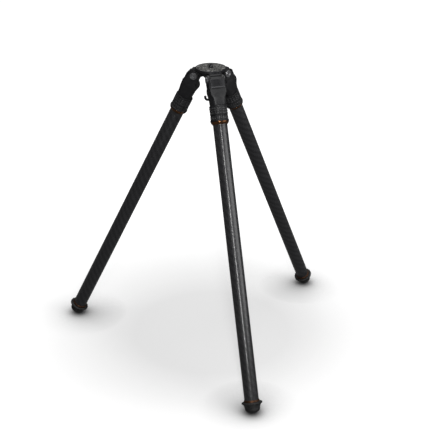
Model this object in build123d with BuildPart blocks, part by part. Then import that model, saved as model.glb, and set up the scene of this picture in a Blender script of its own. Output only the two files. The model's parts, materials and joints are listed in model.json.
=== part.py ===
from build123d import *
from math import asin, cos, radians, sin
import os

# A flat-platform photographic tripod with three telescoping twist-lock legs, legs collapsed and spread to
# their first angle.  Millimetres, +Z up.  The origin is the centre of the platform's top face, on the axis of
# the camera stud.  The front leg points along -Y.

# ---- driving dimensions: whole stand ----
platform_diameter = 74.0
lower_tube_diameter = 33.6        # outermost tube, carries the foot
lower_tube_length = 649.0
leg_angle = 26.3                  # leg axis from the vertical at the first stop
leg_azimuths = {"front": -90.0, "right": 30.0, "left": 150.0}

# ---- platform and stud ----
platform_thickness = 6.0
platform_edge_chamfer = 1.4
rim_width = 2.3                   # bare metal rim around the grip pad
rim_drop = 0.3                    # rim sits this far below the pad's top
pad_thickness = 1.2
pad_edge_gap = 0.1
stud_radius = 4.7625              # 3/8 inch thread
stud_height = 4.2
tip_radius = 3.175                # 1/4 inch thread on top of it
tip_height = 5.6
stud_flange_radius = 7.0
stud_flange_thickness = 2.8
stud_flange_drop = 0.2
stud_shank_radius = 4.0
stud_shank_length = 14.0
screw_fit = 0.03                  # radial gap of a screw or a bonded sleeve in its seat
stud_chamfer = 0.8

# ---- hub casting ----
hub_shoulder_inset = 6.0          # the top flange is this much smaller than the platform, in radius
hub_shoulder_height = 3.0
hub_body_inset = 11.0
hub_body_depth = 12.5             # underside of the body below the platform's underside
hub_boss_radius = 12.0
hub_boss_height = 2.5
pivot_depth = 19.5                # pivot axis below the platform's top face
lug_width = 28.0
lug_arm_half_height = 9.0
cam_radius = 14.0                 # lug around the pivot, in the valleys between teeth
tooth_height = 1.8
tooth_face_angle = 87.5           # from the leg axis at the first stop
stop_spacing = 28.0               # second leg angle less the first
platform_gap = 0.5                # under the platform's edge
platform_screw_count = 3
platform_screw_circle = 18.0
platform_screw_radius = 2.0
platform_screw_head_radius = 3.4
platform_screw_head_height = 2.4
platform_screw_head_clearance = 0.3
platform_screw_bite = 3.4
platform_screw_socket_radius = 1.6
platform_screw_angle = 90.0       # direction of the first screw

# ---- pivot ----
pivot_bolt_radius = 4.0
pivot_bush_wall = 1.5
pivot_running_clearance = 0.05
pivot_cap_radius = 8.5
pivot_cap_thickness = 3.0
pivot_cap_seat_depth = 0.9
pivot_cap_edge = 0.7
pivot_nut_wall = 2.0              # nut's sleeve around the bolt's end
pivot_socket_across = 5.0
pivot_socket_depth = 2.0

# ---- yoke, the casting on top of each leg ----
ear_radius = 12.0
ear_crown_start = 100.0           # round part of the ears, from the leg axis about the pivot
ear_crown_sweep = 160.0
ear_thickness = 5.6
ear_side_clearance = 0.25
throat_depth = 15.5               # flat floor of the throat below the pivot
yoke_length = 60.0
shelf_start = 10.5                # the stop tab lies on a shelf between these depths
shelf_end = 22.7
socket_wall_front = 5.2           # around the upper tube, at the collar
socket_wall_back = 3.5
socket_wall_side = 4.9
brow_swell = 1.7                  # front face below the tab stands out this much more
waist_depth = 40.0
waist_swell = 0.9
bulge_depth = 28.0
bulge_swell = 3.1
bulge_start = 18.0
envelope_margin = 4.0             # the rounding envelope clears the flat faces by this
yoke_top_corner = 2.0
yoke_middle_corner = 6.0
yoke_waist_corner = 9.6
yoke_end_corner = 12.0

# ---- angle-stop tab ----
tab_overlap = 2.25                # plate beyond the throat, each side
tab_thickness = 2.6
tab_top_bevel = 1.3
tab_lip_rise = 2.0
tab_lip_width = 2.0
tab_rest_gap = 0.3
tongue_thickness = 2.0
tongue_inset = 2.2                # narrower than the lug, each side
tongue_clearance = 0.3
tongue_length = 22.0
tab_travel = 6.8                  # between drawn back and engaged
tab_end_clearance = 0.3

# ---- tubes ----
tube_wall = 1.4
tube_gap = 0.6                    # radial gap from one tube to the next
tube_socket_start = 36.5
inner_tube_end_gap = 2.0          # above the plug in the lower tube's end
lower_tube_start = 92.0

# ---- twist locks ----
ferrule_wall = 2.2
collar_wall = 1.72
collar_thread_clearance = 0.08
collar_lip = 1.8
collar_lip_clearance = 0.5
collar_edge = 0.8
collar_flare = 1.2
collar_flare_length = 4.8
pip_depth = 7.2                   # middle of the pip below the collar's top edge
pip_radius = 1.8
lock_gap = 0.5                    # between yoke, upper collar and lower collar
upper_collar_length = 22.4
lower_collar_length = 13.8
collet_slide_clearance = 0.05
collet_seat_clearance = 0.1
collet_flange_thickness = 1.2
collet_flange_drop = 0.6
collet_slot_width = 1.6
collet_end_gap = 0.5
trim_ring_length = 6.6

# ---- foot ----
foot_plug_depth = 17.0
foot_ring_length = 4.4
foot_ring_lip = 1.6
foot_flange_overhang = 7.5        # beyond the tube
foot_flange_thickness = 5.4
foot_neck_overhang = 4.0
foot_tip_inset = 0.2
foot_tread_height = 7.0
foot_height = 27.0
foot_stem_radius = 4.0
foot_stem_length = 16.0

# ---- weight hook ----
hook_wire_radius = 2.8
hook_bend_radius = 6.9
hook_bend_depth = 72.4            # height of the bend's centre below the platform's top
hook_tip_rise = 1.0
hook_tip_radius = 3.1
hook_head_radius = 4.4
hook_head_height = 1.8
hook_clearance = 0.05
hook_head_clearance = 0.2
hook_socket_radius = 9.0
hook_socket_height = 7.0
hook_socket_edge = 1.2

# ---- sizes worked out from the ones above ----
platform_radius = platform_diameter / 2
pivot_radius = platform_radius    # the pivots lie under the platform's edge
hub_top = -platform_thickness
hub_underside = hub_top - hub_body_depth
boss_underside = hub_underside - hub_boss_height
peak_radius = cam_radius + tooth_height
bush_radius = pivot_bolt_radius + pivot_running_clearance + pivot_bush_wall
throat_half_width = lug_width / 2 + ear_side_clearance
ear_face = throat_half_width + ear_thickness
cap_seat = ear_face - pivot_cap_seat_depth
lower_tube_radius = lower_tube_diameter / 2
middle_tube_radius = lower_tube_radius - tube_wall - tube_gap
upper_tube_radius = middle_tube_radius - tube_wall - tube_gap
ferrule_radius = lower_tube_radius + screw_fit + ferrule_wall
collar_bore = ferrule_radius + collar_thread_clearance
collar_radius = collar_bore + collar_wall
upper_collar_start = yoke_length + lock_gap
lower_collar_start = upper_collar_start + upper_collar_length + lock_gap
trim_ring_start = lower_collar_start + lower_collar_length + lock_gap
lower_tube_end = lower_tube_start + lower_tube_length
middle_tube_start = upper_collar_start + lower_tube_start - lower_collar_start + collar_lip
inner_tube_end = lower_tube_end - foot_plug_depth - inner_tube_end_gap
pivot_nut_radius = pivot_bolt_radius + pivot_nut_wall
shelf_height = cam_radius + tongue_thickness
tab_half_width = throat_half_width + tab_overlap
tongue_half_width = lug_width / 2 - tongue_inset
tongue_floor = cam_radius + tongue_clearance
tongue_top = shelf_height + tab_rest_gap
tab_height = shelf_height + tab_thickness
tab_lip_height = tab_height + tab_lip_rise
engaged_tip = peak_radius * cos(radians(tooth_face_angle)) + tab_end_clearance
tab_tip = engaged_tip + tab_travel
tongue_slot_end = tab_tip + tongue_length + tab_end_clearance
tab_bottom = shelf_end - tab_rest_gap
foot_flange_radius = lower_tube_radius + foot_flange_overhang
foot_neck_radius = lower_tube_radius + foot_neck_overhang
foot_tip_radius = lower_tube_radius - foot_tip_inset


class LegFrame:
    """Planes and axes of one leg: s runs down the leg from the pivot, h points outwards, t across."""

    def __init__(self, azimuth):
        self.outward = Vector(cos(radians(azimuth)), sin(radians(azimuth)), 0)
        up = Vector(0, 0, 1)
        self.across = self.outward.cross(up)
        self.along = self.outward * sin(radians(leg_angle)) - up * cos(radians(leg_angle))
        self.pivot = self.outward * pivot_radius - up * pivot_depth
        self.side = Plane(origin=self.pivot, x_dir=self.along, z_dir=self.across)
        self.section = Plane(origin=self.pivot, x_dir=self.side.y_dir, z_dir=self.along)
        self.radial = Plane(origin=(0, 0, 0), x_dir=self.outward, z_dir=self.across)
        self.axis = Axis(self.pivot, self.along)
        self.pivot_axis = Axis(self.pivot, self.across)


def finish(name, part):
    """Label one piece and write it to its own file."""
    part.label = name
    export_step(part, f"parts/{name}.step")


def turn(plane, axis, *outline):
    """Revolve a closed outline, drawn on a plane through the axis, into the open part."""
    with BuildSketch(plane) as profile:
        with BuildLine():
            Polyline(*outline, close=True)
        make_face()
    revolve(profile.sketch, axis=axis)


def slab(plane, half_width, *outline, mode=Mode.ADD):
    """Extrude a closed outline both ways from its plane into the open part."""
    with BuildSketch(plane) as profile:
        with BuildLine():
            Polyline(*outline, close=True)
        make_face()
    extrude(profile.sketch, amount=half_width, both=True, mode=mode)


def rod(plane, start, end, radius, mode=Mode.ADD):
    """A round bar or hole along a plane's normal, from one height to another."""
    with BuildSketch(plane.offset(start)) as profile:
        Circle(radius)
    extrude(profile.sketch, amount=end - start, mode=mode)


def cam_point(radius, angle):
    """A point of the hub's lug: radius and angle about the pivot, from the leg axis, as (radial, height)."""
    lean = radians(leg_angle)
    turned = radians(angle)
    reach = sin(lean) * cos(turned) + cos(lean) * sin(turned)
    rise = -cos(lean) * cos(turned) + sin(lean) * sin(turned)
    return (pivot_radius + radius * reach, -pivot_depth + radius * rise)


# ---------------------------------------------------------------- hub

def make_platform():
    with BuildPart() as platform:
        rim_top = -rim_drop
        pocket = platform_radius - rim_width
        flange_seat = -stud_flange_drop - stud_flange_thickness
        turn(
            Plane.XZ, Axis.Z,
            (stud_shank_radius + screw_fit, hub_top),
            (platform_radius, hub_top),
            (platform_radius, rim_top - platform_edge_chamfer),
            (platform_radius - platform_edge_chamfer, rim_top),
            (pocket, rim_top),
            (pocket, -pad_thickness),
            (stud_flange_radius + screw_fit, -pad_thickness),
            (stud_flange_radius + screw_fit, flange_seat),
            (stud_shank_radius + screw_fit, flange_seat),
        )
        with BuildSketch(Plane.XY.offset(hub_top)):
            with PolarLocations(platform_screw_circle, platform_screw_count, platform_screw_angle):
                Circle(platform_screw_radius + screw_fit)
        extrude(amount=platform_screw_bite, mode=Mode.SUBTRACT)
    finish("platform", platform.part)


def make_grip_pad():
    with BuildPart() as grip_pad:
        with BuildSketch(Plane.XY.offset(-pad_thickness)):
            Circle(platform_radius - rim_width - pad_edge_gap)
            Circle(stud_flange_radius + pad_edge_gap, mode=Mode.SUBTRACT)
        extrude(amount=pad_thickness)
    finish("grip_pad", grip_pad.part)


def make_camera_stud():
    with BuildPart() as camera_stud:
        flange_top = -stud_flange_drop
        flange_bottom = flange_top - stud_flange_thickness
        shoulder = stud_height
        top = stud_height + tip_height
        turn(
            Plane.XZ, Axis.Z,
            (0, flange_bottom - stud_shank_length),
            (stud_shank_radius, flange_bottom - stud_shank_length),
            (stud_shank_radius, flange_bottom),
            (stud_flange_radius, flange_bottom),
            (stud_flange_radius, flange_top),
            (stud_radius, flange_top),
            (stud_radius, shoulder - stud_chamfer),
            (tip_radius + stud_chamfer, shoulder),
            (tip_radius, shoulder),
            (tip_radius, top - stud_chamfer),
            (tip_radius - stud_chamfer, top),
            (0, top),
        )
    finish("camera_stud", camera_stud.part)


def make_hub(legs):
    with BuildPart() as hub:
        shoulder = platform_radius - hub_shoulder_inset
        body = platform_radius - hub_body_inset
        turn(
            Plane.XZ, Axis.Z,
            (0, hub_top),
            (shoulder, hub_top),
            (shoulder, hub_top - hub_shoulder_height),
            (body, hub_top - 2 * hub_shoulder_height),
            (body, hub_underside + hub_boss_height),
            (body - hub_boss_height, hub_underside),
            (hub_boss_radius, hub_underside),
            (hub_boss_radius, boss_underside),
            (0, boss_underside),
        )
        lug_top = hub_top - platform_gap
        second_face = tooth_face_angle + stop_spacing
        for leg in legs.values():
            across = leg.side
            rod(across, -lug_width / 2, lug_width / 2, cam_radius)
            slab(
                leg.radial, lug_width / 2,
                (hub_boss_radius, lug_top),
                (hub_boss_radius, hub_underside),
                (pivot_radius, -pivot_depth - lug_arm_half_height),
                cam_point(cam_radius - tooth_height, tooth_face_angle),
                cam_point(peak_radius, tooth_face_angle),
                cam_point(cam_radius, second_face),
                cam_point(peak_radius, second_face),
                (platform_radius + platform_gap, lug_top),
            )
            with BuildSketch(Plane.XY.offset(lug_top)) as headroom:
                Circle(platform_radius + platform_gap)
                Circle(shoulder, mode=Mode.SUBTRACT)
            extrude(headroom.sketch, amount=pivot_depth, mode=Mode.SUBTRACT)
            rod(across, -lug_width / 2, lug_width / 2, bush_radius, mode=Mode.SUBTRACT)
        shank_hole = stud_shank_length + stud_flange_drop + stud_flange_thickness
        rod(Plane.XY, hub_top, -shank_hole, stud_shank_radius + screw_fit, mode=Mode.SUBTRACT)
        with BuildSketch(Plane.XY.offset(hub_underside)) as screw_holes:
            with PolarLocations(platform_screw_circle, platform_screw_count, platform_screw_angle):
                Circle(platform_screw_radius + screw_fit)
        extrude(screw_holes.sketch, amount=hub_body_depth, mode=Mode.SUBTRACT)
        with BuildSketch(Plane.XY.offset(hub_underside)) as spot_faces:
            with PolarLocations(platform_screw_circle, platform_screw_count, platform_screw_angle):
                Circle(platform_screw_head_radius + platform_screw_head_clearance)
        extrude(spot_faces.sketch, amount=-pivot_depth, mode=Mode.SUBTRACT)
    finish("hub", hub.part)


def make_platform_screws():
    with BuildPart() as platform_screws:
        with BuildSketch(Plane.XY.offset(hub_underside)):
            with PolarLocations(platform_screw_circle, platform_screw_count, platform_screw_angle):
                Circle(platform_screw_radius)
        extrude(amount=hub_body_depth + platform_screw_bite - screw_fit)
        with BuildSketch(Plane.XY.offset(hub_underside)):
            with PolarLocations(platform_screw_circle, platform_screw_count, platform_screw_angle):
                Circle(platform_screw_head_radius)
        extrude(amount=-platform_screw_head_height)
        with BuildSketch(Plane.XY.offset(hub_underside - platform_screw_head_height)):
            with PolarLocations(platform_screw_circle, platform_screw_count, platform_screw_angle):
                RegularPolygon(platform_screw_socket_radius, 6)
        extrude(amount=platform_screw_head_height / 2, mode=Mode.SUBTRACT)
    finish("platform_screws", platform_screws.part)


def make_pivot_bushes(legs):
    with BuildPart() as pivot_bushes:
        for leg in legs.values():
            rod(leg.side, -lug_width / 2, lug_width / 2, bush_radius)
            rod(
                leg.side, -lug_width / 2, lug_width / 2, bush_radius - pivot_bush_wall,
                mode=Mode.SUBTRACT,
            )
    finish("pivot_bushes", pivot_bushes.part)


def make_hook_socket():
    with BuildPart() as hook_socket:
        head_room = hook_head_height + hook_head_clearance
        bottom = boss_underside - hook_socket_height
        turn(
            Plane.XZ, Axis.Z,
            (hook_head_radius + hook_head_clearance, boss_underside),
            (hook_socket_radius, boss_underside),
            (hook_socket_radius, bottom + hook_socket_edge),
            (hook_socket_radius - hook_socket_edge, bottom),
            (hook_wire_radius + hook_clearance, bottom),
            (hook_wire_radius + hook_clearance, boss_underside - head_room),
            (hook_head_radius + hook_head_clearance, boss_underside - head_room),
        )
    finish("hook_socket", hook_socket.part)


def make_weight_hook():
    with BuildPart() as weight_hook:
        head_top = boss_underside - 2 * hook_clearance
        stem_top = head_top - hook_head_height
        tip = (-2 * hook_bend_radius, -hook_bend_depth + hook_tip_rise)
        with BuildLine(Plane.XZ) as wire:
            stem = Line((0, stem_top), (0, -hook_bend_depth))
            bend = CenterArc((-hook_bend_radius, -hook_bend_depth), hook_bend_radius, 0, -180)
            Line(bend @ 1, tip)
        with BuildSketch(Plane.XY.offset(stem_top)):
            Circle(hook_wire_radius)
        sweep(path=wire.line)
        with BuildSketch(Plane.XY.offset(stem_top)):
            Circle(hook_head_radius)
        extrude(amount=hook_head_height)
        with Locations((tip[0], 0, tip[1])):
            Sphere(hook_tip_radius)
    finish("weight_hook", weight_hook.part)


# ---------------------------------------------------------------- legs

def make_yoke(side, leg):
    with BuildPart() as yoke:
        front_end = upper_tube_radius + socket_wall_front
        back_end = -upper_tube_radius - socket_wall_back
        side_end = upper_tube_radius + socket_wall_side
        with BuildSketch(leg.side) as outline:
            with BuildLine():
                crown = CenterArc((0, 0), ear_radius, ear_crown_start, ear_crown_sweep)
                front = Polyline(
                    crown @ 0,
                    (shelf_start, shelf_height),
                    (shelf_end, shelf_height),
                    (shelf_end, front_end + brow_swell),
                    (yoke_length, front_end),
                    (yoke_length, back_end),
                    (waist_depth, back_end - waist_swell),
                )
                shoulder = ThreePointArc(
                    front @ 1,
                    (bulge_depth, back_end - bulge_swell),
                    (bulge_start, -ear_radius),
                )
                Line(shoulder @ 1, crown @ 1)
            make_face()
        extrude(outline.sketch, amount=ear_face, both=True)
        # the corners round over towards the collar, so the flat front face narrows to a wedge
        clear = front_end + brow_swell + envelope_margin
        envelope = (
            (-ear_radius - envelope_margin, clear, ear_face, yoke_top_corner),
            (envelope_margin, clear, ear_face, yoke_top_corner),
            (yoke_length / 2, clear, (ear_face + side_end) / 2, yoke_middle_corner),
            (waist_depth + envelope_margin, front_end + brow_swell, side_end, yoke_waist_corner),
            (yoke_length, side_end, side_end, yoke_end_corner),
        )
        sections = []
        for depth, half_height, half_width, corner in envelope:
            with BuildSketch(leg.section.offset(depth)) as step:
                RectangleRounded(2 * half_height, 2 * half_width, corner)
            sections.append(step.sketch.face())
        loft(sections, ruled=True, mode=Mode.INTERSECT)
        beyond = 2 * ear_radius
        slab(
            leg.side, throat_half_width,
            (-beyond, -beyond),
            (throat_depth, -beyond),
            (throat_depth, beyond),
            (-beyond, beyond),
            mode=Mode.SUBTRACT,
        )
        slab(
            leg.side, tongue_half_width + tongue_clearance,
            (0, tongue_floor - tongue_clearance),
            (tongue_slot_end, tongue_floor - tongue_clearance),
            (tongue_slot_end, tongue_top),
            (shelf_end, tongue_top),
            (shelf_end, tab_lip_height),
            (0, tab_lip_height),
            mode=Mode.SUBTRACT,
        )
        rod(
            leg.section, tube_socket_start, yoke_length, upper_tube_radius + screw_fit,
            mode=Mode.SUBTRACT,
        )
        rod(leg.side, 0, ear_face, pivot_bolt_radius + screw_fit, mode=Mode.SUBTRACT)
        rod(leg.side, 0, -ear_face, pivot_nut_radius + screw_fit, mode=Mode.SUBTRACT)
        for direction in (1, -1):
            rod(
                leg.side, direction * cap_seat, direction * 2 * ear_face,
                pivot_cap_radius + screw_fit, mode=Mode.SUBTRACT,
            )
    finish(f"yoke_{side}", yoke.part)


def make_pivot_bolt(side, leg):
    with BuildPart() as pivot_bolt:
        head_top = cap_seat + pivot_cap_thickness
        turn(
            Plane(leg.pivot, x_dir=leg.across, z_dir=leg.along),
            leg.pivot_axis,
            (-cap_seat, 0),
            (head_top, 0),
            (head_top, pivot_cap_radius - pivot_cap_edge),
            (head_top - pivot_cap_edge, pivot_cap_radius),
            (cap_seat, pivot_cap_radius),
            (cap_seat, pivot_bolt_radius),
            (-cap_seat, pivot_bolt_radius),
        )
        with BuildSketch(leg.side.offset(head_top)) as socket:
            RegularPolygon(pivot_socket_across / 2, 6, major_radius=False)
        extrude(socket.sketch, amount=-pivot_socket_depth, mode=Mode.SUBTRACT)
    finish(f"pivot_bolt_{side}", pivot_bolt.part)


def make_pivot_nut(side, leg):
    with BuildPart() as pivot_nut:
        cap_top = cap_seat + pivot_cap_thickness
        boss_end = throat_half_width + ear_side_clearance
        turn(
            Plane(leg.pivot, x_dir=leg.across, z_dir=leg.along),
            leg.pivot_axis,
            (-cap_top, 0),
            (-cap_top, pivot_cap_radius - pivot_cap_edge),
            (-cap_top + pivot_cap_edge, pivot_cap_radius),
            (-cap_seat, pivot_cap_radius),
            (-cap_seat, pivot_nut_radius),
            (-boss_end, pivot_nut_radius),
            (-boss_end, pivot_bolt_radius + screw_fit),
            (-cap_seat - screw_fit, pivot_bolt_radius + screw_fit),
            (-cap_seat - screw_fit, 0),
        )
        with BuildSketch(leg.side.offset(-cap_top)) as socket:
            RegularPolygon(pivot_socket_across / 2, 6, major_radius=False)
        extrude(socket.sketch, amount=pivot_socket_depth, mode=Mode.SUBTRACT)
    finish(f"pivot_nut_{side}", pivot_nut.part)


def make_stop_tab(side, leg):
    with BuildPart() as stop_tab:
        slab(
            leg.side, tab_half_width,
            (tab_end_clearance, tongue_top),
            (tab_end_clearance, tab_height - tab_top_bevel),
            (tab_end_clearance + tab_top_bevel, tab_height),
            (tab_bottom - 2 * tab_lip_width, tab_height),
            (tab_bottom - tab_lip_width, tab_lip_height),
            (tab_bottom, tab_lip_height),
            (tab_bottom, tongue_top),
        )
        slab(
            leg.side, tongue_half_width,
            (tab_tip, tongue_floor),
            (tab_tip + tongue_length, tongue_floor),
            (tab_tip + tongue_length, tongue_top - tab_rest_gap / 2),
            (tab_bottom, tongue_top - tab_rest_gap / 2),
            (tab_bottom, tongue_top + tab_rest_gap),
            (tab_tip, tongue_top + tab_rest_gap),
        )
    finish(f"stop_tab_{side}", stop_tab.part)


def make_tube(name, leg, start, end, radius):
    with BuildPart() as tube:
        with BuildSketch(leg.section.offset(start)):
            Circle(radius)
            Circle(radius - tube_wall, mode=Mode.SUBTRACT)
        extrude(amount=end - start)
    finish(name, tube.part)


def make_ferrule(name, leg, start, end, tube_start, tube_radius):
    """Threaded sleeve bonded on a tube's top end; above the tube it holds the collet."""
    chamber = ferrule_radius - ferrule_wall / 2
    with BuildPart() as ferrule:
        turn(
            leg.side, leg.axis,
            (start, chamber),
            (start, ferrule_radius),
            (end, ferrule_radius),
            (end, tube_radius + screw_fit),
            (tube_start, tube_radius + screw_fit),
            (tube_start, chamber),
        )
    finish(name, ferrule.part)


def make_collet(name, leg, start, end, inner_tube_radius):
    """Split plastic sleeve squeezed on to the inner tube by the collar."""
    bore = inner_tube_radius + collet_slide_clearance
    body = ferrule_radius - ferrule_wall / 2 - collet_seat_clearance
    flange = ferrule_radius - collet_flange_drop
    with BuildPart() as collet:
        turn(
            leg.side, leg.axis,
            (start - collet_flange_thickness, bore),
            (start - collet_flange_thickness, flange),
            (start, flange),
            (start, body),
            (end, body - collet_flange_drop),
            (end, bore),
        )
        with BuildSketch(leg.section.offset(start - 2 * collet_flange_thickness)) as slot:
            with Locations((ferrule_radius / 2, 0)):
                Rectangle(ferrule_radius, collet_slot_width)
        extrude(slot.sketch, amount=2 * (end - start), mode=Mode.SUBTRACT)
    finish(name, collet.part)


def make_upper_collar(side, leg):
    """Twist grip of the upper lock, with a small pip to feel its position."""
    start = upper_collar_start
    end = start + upper_collar_length
    lip_bore = upper_tube_radius + collar_lip_clearance
    with BuildPart() as collar:
        turn(
            leg.side, leg.axis,
            (start, lip_bore),
            (start, collar_radius - collar_edge),
            (start + collar_edge, collar_radius),
            (end - collar_edge, collar_radius),
            (end, collar_radius - collar_edge),
            (end, collar_bore),
            (start + collar_lip, collar_bore),
            (start + collar_lip, lip_bore),
        )
        pip = Plane(leg.pivot + leg.along * (start + pip_depth), x_dir=leg.along, z_dir=leg.across)
        rod(pip, collar_radius - collar_edge, collar_radius + collar_edge, pip_radius)
    finish(f"upper_collar_{side}", collar.part)


def make_lower_collar(side, leg):
    """Twist grip of the lower lock, flared so that fingers tell it from the upper one."""
    start = lower_collar_start
    end = start + lower_collar_length
    lip_bore = middle_tube_radius + collar_lip_clearance
    with BuildPart() as collar:
        turn(
            leg.side, leg.axis,
            (start, lip_bore),
            (start, collar_radius - collar_edge),
            (start + collar_edge, collar_radius),
            (end - collar_flare_length, collar_radius),
            (end - collar_flare_length + collar_flare, collar_radius + collar_flare),
            (end - collar_flare, collar_radius + collar_flare),
            (end, collar_radius + collar_flare / 2),
            (end, collar_bore),
            (start + collar_lip, collar_bore),
            (start + collar_lip, lip_bore),
        )
    finish(f"lower_collar_{side}", collar.part)


def make_trim_ring(side, leg):
    with BuildPart() as trim_ring:
        start = trim_ring_start
        end = start + trim_ring_length
        turn(
            leg.side, leg.axis,
            (start, lower_tube_radius + screw_fit),
            (start, collar_radius + collar_flare / 2),
            (start + trim_ring_length / 3, collar_radius),
            (end, lower_tube_radius + collar_edge),
            (end, lower_tube_radius + screw_fit),
        )
    finish(f"trim_ring_{side}", trim_ring.part)


def make_foot_ring(side, leg):
    with BuildPart() as foot_ring:
        plug_radius = lower_tube_radius - tube_wall - screw_fit
        end = lower_tube_end + foot_ring_length
        turn(
            leg.side, leg.axis,
            (lower_tube_end - foot_plug_depth, foot_stem_radius + screw_fit),
            (lower_tube_end - foot_plug_depth, plug_radius),
            (lower_tube_end, plug_radius),
            (lower_tube_end, lower_tube_radius + foot_ring_lip / 2),
            (lower_tube_end + foot_ring_lip, lower_tube_radius + foot_ring_lip),
            (end, lower_tube_radius + foot_ring_lip),
            (end, foot_stem_radius + screw_fit),
        )
    finish(f"foot_ring_{side}", foot_ring.part)


def make_foot(side, leg):
    with BuildPart() as foot:
        top = lower_tube_end + foot_ring_length
        flange_end = top + foot_flange_thickness
        bottom = top + foot_height
        edge = foot_flange_thickness / 3
        tread_start = bottom - foot_tread_height
        tread_radius = (foot_tip_radius**2 + foot_tread_height**2) / (2 * foot_tread_height)
        half_turn = asin(foot_tip_radius / tread_radius) / 2
        tread_middle = (
            bottom - tread_radius * (1 - cos(half_turn)),
            tread_radius * sin(half_turn),
        )
        with BuildSketch(leg.side) as profile:
            with BuildLine():
                upper = Polyline(
                    (bottom, 0),
                    (top - foot_stem_length, 0),
                    (top - foot_stem_length, foot_stem_radius),
                    (top, foot_stem_radius),
                    (top, foot_neck_radius),
                    (top + edge, foot_flange_radius),
                    (flange_end - edge, foot_flange_radius),
                    (flange_end, foot_neck_radius),
                    (tread_start, foot_tip_radius),
                )
                ThreePointArc(upper @ 1, tread_middle, (bottom, 0))
            make_face()
        revolve(profile.sketch, axis=leg.axis)
    finish(f"foot_{side}", foot.part)


def make_leg(side, leg):
    make_yoke(side, leg)
    make_pivot_bolt(side, leg)
    make_pivot_nut(side, leg)
    make_stop_tab(side, leg)
    upper_chamber = upper_collar_start + collar_lip + collet_end_gap + collet_flange_thickness
    lower_chamber = lower_collar_start + collar_lip + collet_end_gap + collet_flange_thickness
    make_tube(
        f"upper_tube_{side}", leg, tube_socket_start + tube_gap, inner_tube_end, upper_tube_radius,
    )
    make_upper_collar(side, leg)
    make_collet(
        f"upper_collet_{side}", leg, upper_chamber, middle_tube_start - collet_end_gap,
        upper_tube_radius,
    )
    make_ferrule(
        f"upper_ferrule_{side}", leg, upper_chamber, upper_collar_start + upper_collar_length,
        middle_tube_start, middle_tube_radius,
    )
    make_tube(f"middle_tube_{side}", leg, middle_tube_start, inner_tube_end, middle_tube_radius)
    make_lower_collar(side, leg)
    make_collet(
        f"lower_collet_{side}", leg, lower_chamber, lower_tube_start - collet_end_gap,
        middle_tube_radius,
    )
    make_ferrule(
        f"lower_ferrule_{side}", leg, lower_chamber, trim_ring_start, lower_tube_start,
        lower_tube_radius,
    )
    make_trim_ring(side, leg)
    make_tube(f"lower_tube_{side}", leg, lower_tube_start, lower_tube_end, lower_tube_radius)
    make_foot_ring(side, leg)
    make_foot(side, leg)


os.makedirs("parts", exist_ok=True)
leg_frames = {side: LegFrame(azimuth) for side, azimuth in leg_azimuths.items()}
make_platform()
make_grip_pad()
make_camera_stud()
make_hub(leg_frames)
make_platform_screws()
make_pivot_bushes(leg_frames)
make_hook_socket()
make_weight_hook()
for leg_name, leg_frame in leg_frames.items():
    make_leg(leg_name, leg_frame)
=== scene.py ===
# %% [markdown]
# # A carbon-fibre tripod, finished around its CAD frame
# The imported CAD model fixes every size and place; this lesson gives each part its visible form and finish.
# We load the model first and keep its box, because nothing made below may reach outside it.

import json
import math

import bmesh
import bpy
from mathutils import Matrix, Quaternion, Vector


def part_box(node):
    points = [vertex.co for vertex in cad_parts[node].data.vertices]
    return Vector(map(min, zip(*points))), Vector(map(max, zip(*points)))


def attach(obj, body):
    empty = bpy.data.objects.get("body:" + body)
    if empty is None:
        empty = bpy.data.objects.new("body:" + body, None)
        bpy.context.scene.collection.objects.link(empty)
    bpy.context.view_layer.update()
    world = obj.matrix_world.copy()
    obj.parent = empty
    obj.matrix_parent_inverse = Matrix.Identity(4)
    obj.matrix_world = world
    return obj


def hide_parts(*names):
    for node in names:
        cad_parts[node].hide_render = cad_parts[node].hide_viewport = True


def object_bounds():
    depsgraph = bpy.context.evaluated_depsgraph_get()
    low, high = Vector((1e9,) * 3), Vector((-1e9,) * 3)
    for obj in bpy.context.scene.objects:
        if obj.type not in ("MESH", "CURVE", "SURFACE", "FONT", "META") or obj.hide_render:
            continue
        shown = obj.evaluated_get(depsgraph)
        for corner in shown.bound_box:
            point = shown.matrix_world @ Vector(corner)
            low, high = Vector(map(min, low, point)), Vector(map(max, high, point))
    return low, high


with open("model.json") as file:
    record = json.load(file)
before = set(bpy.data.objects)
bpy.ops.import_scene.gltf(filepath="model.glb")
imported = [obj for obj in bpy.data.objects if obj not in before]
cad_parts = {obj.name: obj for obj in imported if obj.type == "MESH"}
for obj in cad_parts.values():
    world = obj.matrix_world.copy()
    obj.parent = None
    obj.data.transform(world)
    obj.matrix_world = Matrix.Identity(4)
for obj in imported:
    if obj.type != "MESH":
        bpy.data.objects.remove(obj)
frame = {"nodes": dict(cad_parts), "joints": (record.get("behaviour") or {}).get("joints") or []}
cad_low, cad_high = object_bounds()
print("CAD box", [round(v, 4) for v in (*cad_low, *cad_high)], "m;", len(frame["nodes"]), "nodes")

# %% [markdown]
# ## The legs' own frames
# Each leg leans outwards, so its parts are easiest to draw in a frame of the leg's own: Z down the tube, Y
# along the pivot bolt and X out of the front face.  The joints of the CAD model already hold these
# directions.

# %% Frames of the three legs
MM = 0.001
SIDES = ("front", "right", "left")
joints = {joint["name"]: joint for joint in frame["joints"]}


def stand_on(point, x_axis, y_axis, z_axis):
    """Matrix that carries a piece drawn about the origin to its place."""
    place = Matrix((x_axis, y_axis, z_axis)).transposed().to_4x4()
    place.translation = point
    return place


def leg_frame(side):
    across = Vector(joints[f"spread_{side}"]["axis"]).normalized()
    along = Vector(joints[f"middle_{side}_slide"]["axis"]).normalized()
    return stand_on(Vector(joints[f"spread_{side}"]["pos_m"]), across.cross(along), across, along)


def bolt_frame(side, direction):
    """Z out of the bolt's cap, on one side of the leg or the other."""
    leg = leg_frame(side)
    x_axis, y_axis, z_axis = (leg.to_3x3().col[i] for i in range(3))
    return stand_on(leg.translation, x_axis, -direction * z_axis, direction * y_axis)


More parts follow.
